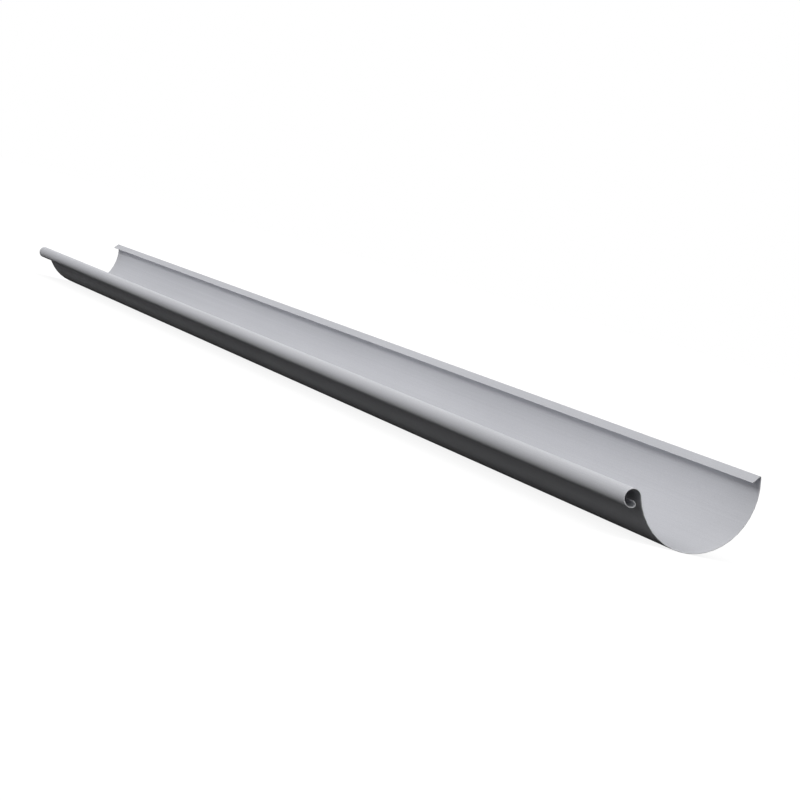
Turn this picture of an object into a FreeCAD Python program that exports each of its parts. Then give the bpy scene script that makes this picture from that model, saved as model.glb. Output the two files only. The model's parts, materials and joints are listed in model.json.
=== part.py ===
import FreeCAD, Part
import math
import os

import Sketcher

# Half-round eaves gutter, one length of roll-formed sheet steel.
#
# Section, seen along the gutter's axis, from the wall side to the eaves side:
#   lip      the back edge, folded inwards and down over the trough
#   wall     a short upright piece of the back
#   trough   the half round that carries the water
#   bead     the hollow roll along the front edge, outside the trough
#   curl     the tighter roll that turns the sheet's edge back into the bead
#   tail     the last, straight bit of the curl
#
# Frame: +X along the gutter, +Y towards the back edge, -Y towards the bead, +Z up.
# A loose gutter is heavier on its bead side, so it lies rolled towards the bead,
# with its centre of mass straight below the trough's axis. The origin is on the floor
# that it lies on, in the middle of its length and of its width there.

DIMENSIONS = [
    # alias, value, what it is
    ("gutter_length", 2000.0, "length of the piece, mm"),
    ("trough_diameter", 125.0, "outside diameter of the half round, mm"),
    ("sheet_thickness", 0.6, "coated steel sheet, mm"),
    ("trough_wrap", 176.0, "angle of the half round, from the wall to the bead, degrees"),
    ("wall_height", 2.2, "upright piece of the back above the half round, mm"),
    ("fold_radius", 0.6, "inside radius of the fold over the back wall, mm"),
    ("fold_turn", 125.0, "angle of that fold, degrees"),
    ("lip_width", 8.9, "flat of the lip, from the fold to the sheet's edge, mm"),
    ("bead_diameter", 17.5, "outside diameter of the bead, mm"),
    ("bead_wrap", 272.0, "angle of the bead, from the trough to the curl, degrees"),
    ("curl_radius", 2.0, "inside radius of the curl, mm"),
    ("curl_wrap", 122.0, "angle of the curl, degrees"),
    ("tail_width", 2.6, "flat of the tail, from the curl to the sheet's edge, mm"),
]

# Sketcher's numbers for the points of a line or an arc
START, END, CENTRE = 1, 2, 3
# Sketcher's name for the origin point of a sketch
ORIGIN_POINT = (-1, 1)

doc = FreeCAD.newDocument("gutter_section")


def make_sheet():
    """The driving dimensions, one row each: what it is, and its value under its alias."""
    sheet = doc.addObject("Spreadsheet::Sheet", "Dimensions")
    for row, (alias, value, meaning) in enumerate(DIMENSIONS, start=1):
        sheet.set(f"A{row}", meaning)
        sheet.set(f"B{row}", str(value))
        sheet.setAlias(f"B{row}", alias)
    doc.recompute()
    return sheet


dims = make_sheet()


def polar(centre, radius, degrees):
    """The point at an angle and a distance from a centre."""
    angle = math.radians(degrees)
    return centre + FreeCAD.Vector(math.cos(angle), math.sin(angle), 0) * radius


def heading(degrees):
    """The unit vector of a direction."""
    return polar(FreeCAD.Vector(0, 0, 0), 1.0, degrees)


def section_centres():
    """Centres of the four bends, and the angles at which one bend hands over to the next.

    Angles are counterclockwise from the sketch's horizontal, which points to the back.
    The inner face of the trough is the outer face of the bead: the sheet swings from
    one side of itself to the other where the front wall turns over into the bead.
    """
    trough = FreeCAD.Vector(0, 0, 0)
    trough_face = dims.trough_diameter / 2 - dims.sheet_thickness
    trough_end = -dims.trough_wrap
    bead_radius = dims.bead_diameter / 2
    bead = polar(trough, trough_face + bead_radius, trough_end)
    bead_start = trough_end + 180
    bead_end = bead_start + dims.bead_wrap
    curl = polar(bead, bead_radius - dims.curl_radius - dims.sheet_thickness, bead_end)
    fold = FreeCAD.Vector(trough_face - dims.fold_radius, dims.wall_height, 0)
    return {
        "trough": (trough, trough_end, 0.0),
        "bead": (bead, bead_start, bead_end),
        "curl": (curl, bead_end, bead_end + dims.curl_wrap),
        "fold": (fold, 0.0, dims.fold_turn),
    }


def face_radii(side):
    """Radii of the bends on one face of the sheet: the wet one, or the dry one behind it."""
    behind = dims.sheet_thickness if side == "dry" else 0.0
    return {
        "trough": dims.trough_diameter / 2 - dims.sheet_thickness + behind,
        "fold": dims.fold_radius + behind,
        "bead": dims.bead_diameter / 2 - behind,
        "curl": dims.curl_radius + dims.sheet_thickness - behind,
    }


def draw_face(sketch, side):
    """Draws one face of the sheet from the lip's edge to the tail's edge, bends tangent."""
    radii = face_radii(side)
    centres = section_centres()
    edges = {}
    for bend, (centre, first, last) in centres.items():
        circle = Part.Circle(centre, FreeCAD.Vector(0, 0, 1), radii[bend])
        arc = Part.ArcOfCircle(circle, math.radians(first), math.radians(last))
        edges[bend] = sketch.addGeometry(arc)
    trough_centre, _, trough_start = centres["trough"]
    fold_centre, wall_angle, lip_angle = centres["fold"]
    curl_centre, _, tail_angle = centres["curl"]
    wall_foot = polar(trough_centre, radii["trough"], trough_start)
    wall_top = polar(fold_centre, radii["fold"], wall_angle)
    edges["wall"] = sketch.addGeometry(Part.LineSegment(wall_foot, wall_top))
    lip_root = polar(fold_centre, radii["fold"], lip_angle)
    lip_edge = lip_root + heading(lip_angle + 90) * dims.lip_width
    edges["lip"] = sketch.addGeometry(Part.LineSegment(lip_root, lip_edge))
    tail_root = polar(curl_centre, radii["curl"], tail_angle)
    tail_edge = tail_root + heading(tail_angle + 90) * dims.tail_width
    edges["tail"] = sketch.addGeometry(Part.LineSegment(tail_root, tail_edge))
    joints = [
        ("lip", START, "fold", END),
        ("fold", START, "wall", END),
        ("wall", START, "trough", END),
        ("trough", START, "bead", START),
        ("bead", END, "curl", START),
        ("curl", END, "tail", START),
    ]
    for one, one_point, other, other_point in joints:
        sketch.addConstraint(
            Sketcher.Constraint("Tangent", edges[one], one_point, edges[other], other_point)
        )
    return edges


def bind(sketch, constraint, name, expression):
    """Adds a dimension to the sketch and ties it to the spreadsheet."""
    index = sketch.addConstraint(constraint)
    sketch.renameConstraint(index, name)
    sketch.setExpression(f"Constraints.{name}", expression)


def cut_edge(sketch, wet, dry, flat):
    """Closes the section across the sheet at the free end of a flat, square to it."""
    ends = [sketch.getPoint(face[flat], END) for face in (wet, dry)]
    line = sketch.addGeometry(Part.LineSegment(*ends))
    sketch.addConstraint(Sketcher.Constraint("Coincident", wet[flat], END, line, START))
    sketch.addConstraint(Sketcher.Constraint("Coincident", dry[flat], END, line, END))
    sketch.addConstraint(Sketcher.Constraint("Perpendicular", wet[flat], line))
    return line


def draw_section(sketch):
    """The closed outline of the bent sheet, sized from the spreadsheet."""
    wet = draw_face(sketch, "wet")
    dry = draw_face(sketch, "dry")
    lip_cut = cut_edge(sketch, wet, dry, "lip")
    cut_edge(sketch, wet, dry, "tail")
    sketch.addConstraint(Sketcher.Constraint("Coincident", wet["trough"], CENTRE, *ORIGIN_POINT))
    for bend in ("trough", "fold", "bead", "curl"):
        sketch.addConstraint(
            Sketcher.Constraint("Coincident", wet[bend], CENTRE, dry[bend], CENTRE)
        )
    sketch.addConstraint(Sketcher.Constraint("Vertical", wet["wall"]))
    sketch.addConstraint(Sketcher.Constraint("Parallel", wet["tail"], dry["tail"]))

    wet_radii = face_radii("wet")
    dry_radii = face_radii("dry")
    cell = "<<Dimensions>>."
    trough_radius = f"{cell}trough_diameter / 2 * 1 mm"
    sheet_thickness = f"{cell}sheet_thickness * 1 mm"
    fold_radius = f"{cell}fold_radius * 1 mm"
    bead_radius = f"{cell}bead_diameter / 2 * 1 mm"
    curl_radius = f"{cell}curl_radius * 1 mm"
    lengths = [
        ("Radius", dry["trough"], dry_radii["trough"], "trough_outside", trough_radius),
        (
            "Radius", wet["trough"], wet_radii["trough"], "trough_inside",
            f"{trough_radius} - {sheet_thickness}",
        ),
        ("Radius", wet["fold"], wet_radii["fold"], "fold_inside", fold_radius),
        (
            "Radius", dry["fold"], dry_radii["fold"], "fold_outside",
            f"{fold_radius} + {sheet_thickness}",
        ),
        ("Radius", wet["bead"], wet_radii["bead"], "bead_outside", bead_radius),
        (
            "Radius", wet["curl"], wet_radii["curl"], "curl_outside",
            f"{curl_radius} + {sheet_thickness}",
        ),
        (
            "Distance", wet["wall"], dims.wall_height, "wall_flat",
            f"{cell}wall_height * 1 mm",
        ),
        ("Distance", wet["lip"], dims.lip_width, "lip_flat", f"{cell}lip_width * 1 mm"),
        ("Distance", wet["tail"], dims.tail_width, "tail_flat", f"{cell}tail_width * 1 mm"),
        ("Distance", lip_cut, dims.sheet_thickness, "lip_cut", sheet_thickness),
    ]
    for kind, edge, value, name, expression in lengths:
        bind(sketch, Sketcher.Constraint(kind, edge, value), name, expression)

    wraps = [
        ("trough", "trough_wrap"),
        ("fold", "fold_turn"),
        ("bead", "bead_wrap"),
        ("curl", "curl_wrap"),
    ]
    for bend, alias in wraps:
        angle = math.radians(getattr(dims, alias))
        constraint = Sketcher.Constraint("Angle", wet[bend], angle)
        bind(sketch, constraint, f"{bend}_angle", f"{cell}{alias} * 1 deg")


def origin_plane(body, role):
    """One of the body's own origin planes."""
    return next(plane for plane in body.Origin.OriginFeatures if plane.Role == role)


def make_gutter():
    """The gutter in its working attitude, the trough's axis on the X axis."""
    body = doc.addObject("PartDesign::Body", "gutter")
    body.Label = "gutter"
    section = body.newObject("Sketcher::SketchObject", "section")
    section.AttachmentSupport = [(origin_plane(body, "YZ_Plane"), "")]
    section.MapMode = "FlatFace"
    doc.recompute()
    draw_section(section)
    doc.recompute()
    run = body.newObject("PartDesign::Pad", "run")
    run.Profile = section
    run.Midplane = True
    run.setExpression("Length", "<<Dimensions>>.gutter_length * 1 mm")
    body.Tip = run
    doc.recompute()
    return body


def lay_at_rest(body):
    """Rolls the gutter about its axis until its centre of mass hangs under the axis."""
    mass_centre = body.Shape.CenterOfMass
    roll = math.degrees(math.atan2(-mass_centre.y, -mass_centre.z))
    turn = FreeCAD.Rotation(FreeCAD.Vector(1, 0, 0), roll)
    body.Placement = FreeCAD.Placement(FreeCAD.Vector(0, 0, 0), turn)
    doc.recompute()
    box = body.Shape.optimalBoundingBox(False, False)
    on_floor = FreeCAD.Vector(0, -box.Center.y, dims.trough_diameter / 2)
    body.Placement = FreeCAD.Placement(on_floor, turn)
    doc.recompute()
    return roll


def check_document(pieces):
    """Stops if any object failed to build or a piece isn't a sound solid."""
    for item in doc.Objects:
        if "Invalid" in item.State or "Error" in item.State:
            raise RuntimeError(f"{item.Name} failed: {item.State}")
    for piece in pieces:
        if piece.Shape.isNull() or not piece.Shape.isValid():
            raise RuntimeError(f"{piece.Label} has no valid shape")
        if len(piece.Shape.Solids) != 1:
            raise RuntimeError(f"{piece.Label} isn't one solid")


gutter = make_gutter()
roll_at_rest = lay_at_rest(gutter)
doc.recompute()
check_document([gutter])

os.makedirs("parts", exist_ok=True)
gutter.Shape.exportStep(f"parts/{gutter.Label}.step")

steel_density = 7.85e-6  # kg per cubic millimetre
print("rolled towards the bead by", round(roll_at_rest, 3), "degrees")
print("volume", round(gutter.Shape.Volume, 1), "mm3")
print("mass", round(gutter.Shape.Volume * steel_density, 3), "kg")
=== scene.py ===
import json
import math

import bpy
from mathutils import Matrix, Vector


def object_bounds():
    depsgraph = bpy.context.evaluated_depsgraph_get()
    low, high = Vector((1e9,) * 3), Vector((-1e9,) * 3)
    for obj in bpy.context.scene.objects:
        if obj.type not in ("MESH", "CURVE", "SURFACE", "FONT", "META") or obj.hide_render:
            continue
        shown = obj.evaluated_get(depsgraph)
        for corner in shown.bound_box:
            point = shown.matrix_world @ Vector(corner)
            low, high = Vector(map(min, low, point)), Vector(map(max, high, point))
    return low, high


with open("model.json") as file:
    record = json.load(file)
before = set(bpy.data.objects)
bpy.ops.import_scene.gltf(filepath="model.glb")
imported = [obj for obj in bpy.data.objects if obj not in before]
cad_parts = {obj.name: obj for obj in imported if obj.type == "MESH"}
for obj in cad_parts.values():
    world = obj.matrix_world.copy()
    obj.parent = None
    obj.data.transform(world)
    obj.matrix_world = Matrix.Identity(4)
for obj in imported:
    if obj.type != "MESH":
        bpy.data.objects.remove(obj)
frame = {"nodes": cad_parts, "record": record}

# A length of half-round gutter lying on a pale studio floor. It lies rolled towards its
# bead, as it comes to rest, and the camera leans with it, so that it is seen from the
# front and above with its rim about level. Everything is in metres, in the frame of the
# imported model: +X along the gutter, +Y towards its back edge, +Z up.

cad_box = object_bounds()
gutter = frame["nodes"]["gutter"]
mounts = {mount["name"]: mount for mount in frame["record"]["mounts"]}

# Where the gutter is, from its own mounts: the trough's axis, and the directions that
# are up and back when the gutter hangs in its brackets.
along = Vector((1, 0, 0))
working_up = Vector(mounts["back_edge"]["axis"]).normalized()
working_back = working_up.cross(along)
seat = mounts["bracket_seat"]
trough_radius = seat["dims"]["r_mm"] / 1000
trough_axis = Vector(seat["pos_m"]) - Vector(seat["axis"]) * trough_radius
near_end_x = cad_box[1].x
gutter_length = cad_box[1].x - cad_box[0].x


# ---------------------------------------------------------------- camera

def make_camera():
    """Beyond the near end, in front of the gutter and above it, looking along it."""
    beyond_end, in_front, above = 1.5636, 0.9951, 0.4174
    turn, tilt, lean = math.radians(24.145), math.radians(10.562), math.radians(0.415)
    sensor_width, lens = 36.0, 95.28
    furthest_seen = 500.0

    place = (
        Vector((near_end_x + beyond_end, trough_axis.y, trough_axis.z))
        - working_back * in_front
        + working_up * above
    )
    level_look = -along * math.cos(turn) + working_back * math.sin(turn)
    look = level_look * math.cos(tilt) - working_up * math.sin(tilt)
    level_right = look.cross(working_up).normalized()
    level_up = level_right.cross(look)
    right = level_right * math.cos(lean) + level_up * math.sin(lean)
    up = right.cross(look)
    facing = Matrix((right, up, -look)).transposed()

    data = bpy.data.cameras.new("camera")
    data.sensor_width = sensor_width
    data.lens = lens
    data.clip_end = furthest_seen
    camera = bpy.data.objects.new("camera", data)
    bpy.context.scene.collection.objects.link(camera)
    camera.matrix_world = Matrix.Translation(place) @ facing.to_4x4()
    bpy.context.scene.camera = camera


# ---------------------------------------------------------------- node helpers

def new_tree(tree):
    """Empties a node tree and returns functions that add nodes and join sockets."""
    tree.nodes.clear()

    def add(kind, **settings):
        node = tree.nodes.new(kind)
        for name, value in settings.items():
            setattr(node, name, value)
        return node

    def join(source, target):
        tree.links.new(source, target)

    return add, join


def background_ray(add, join):
    """1 for the rays that show the background: camera, glossy and transmission rays."""
    path = add("ShaderNodeLightPath")
    camera_or_glossy = add("ShaderNodeMath", operation="MAXIMUM")
    join(path.outputs["Is Camera Ray"], camera_or_glossy.inputs[0])
    join(path.outputs["Is Glossy Ray"], camera_or_glossy.inputs[1])
    any_of_them = add("ShaderNodeMath", operation="MAXIMUM")
    join(camera_or_glossy.outputs[0], any_of_them.inputs[0])
    join(path.outputs["Is Transmission Ray"], any_of_them.inputs[1])
    return any_of_them.outputs[0]


def join_surface(add, join, output_kind, lighting, background):
    """Gives the background's rays one shader, and the rays that light things the other."""
    mix = add("ShaderNodeMixShader")
    join(background_ray(add, join), mix.inputs[0])
    join(lighting.outputs[0], mix.inputs[1])
    join(background.outputs[0], mix.inputs[2])
    join(mix.outputs[0], add(output_kind).inputs["Surface"])


# ---------------------------------------------------------------- material

def coated_sheet():
    """Steel sheet in a satin silver-grey coat, with bare steel where its ends are cut."""
    coat_dark, coat_pale = (0.572, 0.578, 0.608, 1), (0.672, 0.678, 0.710, 1)
    steel_dark, steel_pale = (0.66, 0.67, 0.68, 1), (0.80, 0.81, 0.82, 1)
    coat_metallic, steel_metallic = 0.02, 0.30

    # The coat's tone, from 0, its dark colour, to 1, its pale one: the range that the flake
    # gives it, and how far the drift and the lines shift that. Then its roughness: the
    # range that the lines give it, and how far the flake shifts that.
    flake_tone_low, flake_tone_high = 0.1, 0.9
    drift_tone, lines_tone = 0.20, 0.15
    smoothest, roughest, flake_roughness = 0.36, 0.44, 0.05

    # The relief's heights, and the strip by the ends that is worn to the steel.
    peel_height, lines_height, relief_strength = 0.000030, 0.000014, 0.6
    worn_width, worn_ragged, most_worn = 0.0012, 0.0006, 0.55

    # Most of a noise lies between the usual values. A narrower range gives more contrast,
    # and a wider one less. A face whose normal lies so far along the gutter is a cut end.
    usual_low, usual_high = 0.3, 0.7
    flake_low, flake_high = 0.25, 0.75
    marks_low, marks_high = 0.35, 0.65
    cut_from, cut_fully = 0.85, 0.95

    material = bpy.data.materials.new("coated_sheet")
    material.use_nodes = True
    add, join = new_tree(material.node_tree)
    place = add("ShaderNodeTexCoord").outputs["Object"]

    def grain(across, length, detail=2.0):
        """Noise with grains so many metres across, and so long in the gutter's direction."""
        scaled = add("ShaderNodeMapping")
        scaled.inputs["Scale"].default_value = (1 / length, 1 / across, 1 / across)
        join(place, scaled.inputs["Vector"])
        noise = add("ShaderNodeTexNoise")
        noise.inputs["Scale"].default_value = 1.0
        noise.inputs["Detail"].default_value = detail
        join(scaled.outputs["Vector"], noise.inputs["Vector"])
        return noise.outputs["Fac"]

    def spread(value, low, high, to_low=0.0, to_high=1.0, kind="LINEAR"):
        """Takes the range from low to high to the range from to_low to to_high."""
        ranged = add("ShaderNodeMapRange", interpolation_type=kind)
        for socket, number in (
            ("From Min", low),
            ("From Max", high),
            ("To Min", to_low),
            ("To Max", to_high),
        ):
            ranged.inputs[socket].default_value = number
        join(value, ranged.inputs["Value"])
        return ranged.outputs["Result"]

    def usual(noise, to_low, to_high):
        """Takes a noise's usual values to the range from to_low to to_high."""
        return spread(noise, usual_low, usual_high, to_low, to_high)

    def math_of(operation, first, second=None):
        """One step of arithmetic on sockets or plain numbers."""
        node = add("ShaderNodeMath", operation=operation)
        for socket, value in zip(node.inputs, (first, second)):
            if isinstance(value, float):
                socket.default_value = value
            elif value is not None:
                join(value, socket)
        return node.outputs[0]

    def blend(factor, first, second):
        """Mixes two colours, each a colour or a socket."""
        node = add("ShaderNodeMix", data_type="RGBA")
        join(factor, node.inputs[0])
        for socket, value in ((node.inputs[6], first), (node.inputs[7], second)):
            if isinstance(value, tuple):
                socket.default_value = value
            else:
                join(value, socket)
        return node.outputs[2]

    def along_gutter(vector):
        """The size of a vector's part along the gutter."""
        parts = add("ShaderNodeSeparateXYZ")
        join(vector, parts.inputs[0])
        return math_of("ABSOLUTE", parts.outputs["X"])

    # The coat: slow drifts in tone, lines that the rollers leave, and fine metal flake.
    drift = grain(across=0.05, length=0.35)
    lines = grain(across=0.0012, length=0.9, detail=3.0)
    flake = grain(across=0.0006, length=0.0007, detail=1.0)
    shift = math_of(
        "ADD",
        usual(drift, -drift_tone, drift_tone),
        usual(lines, -lines_tone, lines_tone),
    )
    flake_tone = spread(flake, flake_low, flake_high, flake_tone_low, flake_tone_high)
    coat = blend(math_of("ADD", shift, flake_tone), coat_dark, coat_pale)
    roughness = math_of(
        "ADD",
        usual(lines, smoothest, roughest),
        usual(flake, -flake_roughness, flake_roughness),
    )

    # Bare steel: the cut ends, and the rim of the coat that the shears rubbed thin.
    normal = add("ShaderNodeNewGeometry").outputs["True Normal"]
    cut = spread(along_gutter(normal), cut_from, cut_fully)
    from_end = math_of("SUBTRACT", gutter_length / 2, along_gutter(place))
    raggedness = usual(grain(across=0.004, length=0.002), -worn_ragged, worn_ragged)
    worn = spread(
        math_of("ADD", from_end, raggedness), 0.0, worn_width, most_worn, 0.0, kind="SMOOTHSTEP"
    )
    bare = math_of("MAXIMUM", cut, worn)
    shear_marks = grain(across=0.0004, length=0.0004)
    steel = blend(spread(shear_marks, marks_low, marks_high), steel_dark, steel_pale)

    # Relief: orange peel in the coat, and the rollers' lines.
    peel = grain(across=0.0030, length=0.0036)
    relief = add("ShaderNodeBump")
    relief.inputs["Strength"].default_value = relief_strength
    relief.inputs["Distance"].default_value = 1.0
    join(
        math_of("ADD", usual(peel, 0.0, peel_height), usual(lines, 0.0, lines_height)),
        relief.inputs["Height"],
    )

    shader = add("ShaderNodeBsdfPrincipled")
    shader.inputs["Specular IOR Level"].default_value = 0.0
    join(blend(bare, coat, steel), shader.inputs["Base Color"])
    join(spread(bare, 0.0, 1.0, coat_metallic, steel_metallic), shader.inputs["Metallic"])
    join(roughness, shader.inputs["Roughness"])
    join(relief.outputs["Normal"], shader.inputs["Normal"])
    join(shader.outputs["BSDF"], add("ShaderNodeOutputMaterial").inputs["Surface"])
    return material


# ---------------------------------------------------------------- studio

def make_floor():
    """A wide pale floor that shows white, with the gutter's soft shadow on it."""
    half_side = 200.0
    lighting_grey, shadowed_grey = (0.04, 0.04, 0.04, 1), (0.2, 0.2, 0.2, 1)
    glow = 0.87

    corners = [(half_side * x, half_side * y, 0) for x, y in ((-1, -1), (1, -1), (1, 1), (-1, 1))]
    mesh = bpy.data.meshes.new("floor")
    mesh.from_pydata(corners, [], [(0, 1, 2, 3)])
    floor = bpy.data.objects.new("floor", mesh)
    bpy.context.scene.collection.objects.link(floor)

    material = bpy.data.materials.new("floor")
    material.use_nodes = True
    add, join = new_tree(material.node_tree)
    lighting = add("ShaderNodeBsdfDiffuse")
    lighting.inputs["Color"].default_value = lighting_grey
    shadowed = add("ShaderNodeBsdfDiffuse")
    shadowed.inputs["Color"].default_value = shadowed_grey
    glowing = add("ShaderNodeEmission")
    glowing.inputs["Strength"].default_value = glow
    background = add("ShaderNodeAddShader")
    join(shadowed.outputs[0], background.inputs[0])
    join(glowing.outputs[0], background.inputs[1])
    join_surface(add, join, "ShaderNodeOutputMaterial", lighting, background)
    mesh.materials.append(material)


def make_world():
    """White where it is seen or mirrored, and otherwise a soft light from overhead."""
    # Heights above the horizon, as the sine of the angle.
    dim_below, full_above = 0.2, 0.7
    dim_light, full_light = 0.03, 0.81
    white = (1, 1, 1, 1)

    world = bpy.data.worlds.new("studio")
    bpy.context.scene.world = world
    world.use_nodes = True
    add, join = new_tree(world.node_tree)
    lighting = add("ShaderNodeBackground")
    lighting.inputs["Color"].default_value = white
    background = add("ShaderNodeBackground")
    background.inputs["Color"].default_value = white
    background.inputs["Strength"].default_value = 1.0

    direction = add("ShaderNodeSeparateXYZ")
    join(add("ShaderNodeTexCoord").outputs["Generated"], direction.inputs[0])
    height = add("ShaderNodeMapRange", interpolation_type="SMOOTHSTEP")
    height.inputs["From Min"].default_value = dim_below
    height.inputs["From Max"].default_value = full_above
    height.inputs["To Min"].default_value = dim_light
    height.inputs["To Max"].default_value = full_light
    join(direction.outputs["Z"], height.inputs["Value"])
    join(height.outputs["Result"], lighting.inputs["Strength"])
    join_surface(add, join, "ShaderNodeOutputWorld", lighting, background)


def soft_lamp(name, section_degrees, strength, spread):
    """A distant lamp, spread degrees wide, that shines across the gutter from one side.

    It stands at section_degrees as the gutter hangs: 0 is back, 90 up and 180 front.
    """
    angle = math.radians(section_degrees)
    toward = working_back * math.cos(angle) + working_up * math.sin(angle)
    data = bpy.data.lights.new(name, "SUN")
    data.energy = strength
    data.angle = math.radians(spread)
    lamp = bpy.data.objects.new(name, data)
    bpy.context.scene.collection.objects.link(lamp)
    lamp.rotation_euler = toward.to_track_quat("Z", "Y").to_euler()


# ---------------------------------------------------------------- the scene

make_camera()
sheet_material = coated_sheet()
for slot in gutter.material_slots:
    slot.material = sheet_material
make_floor()
make_world()
soft_lamp("key", section_degrees=130, strength=0.85, spread=25)
soft_lamp("front", section_degrees=150, strength=0.39, spread=50)
soft_lamp("back", section_degrees=25, strength=0.92, spread=40)
bpy.context.scene.view_settings.view_transform = "Standard"
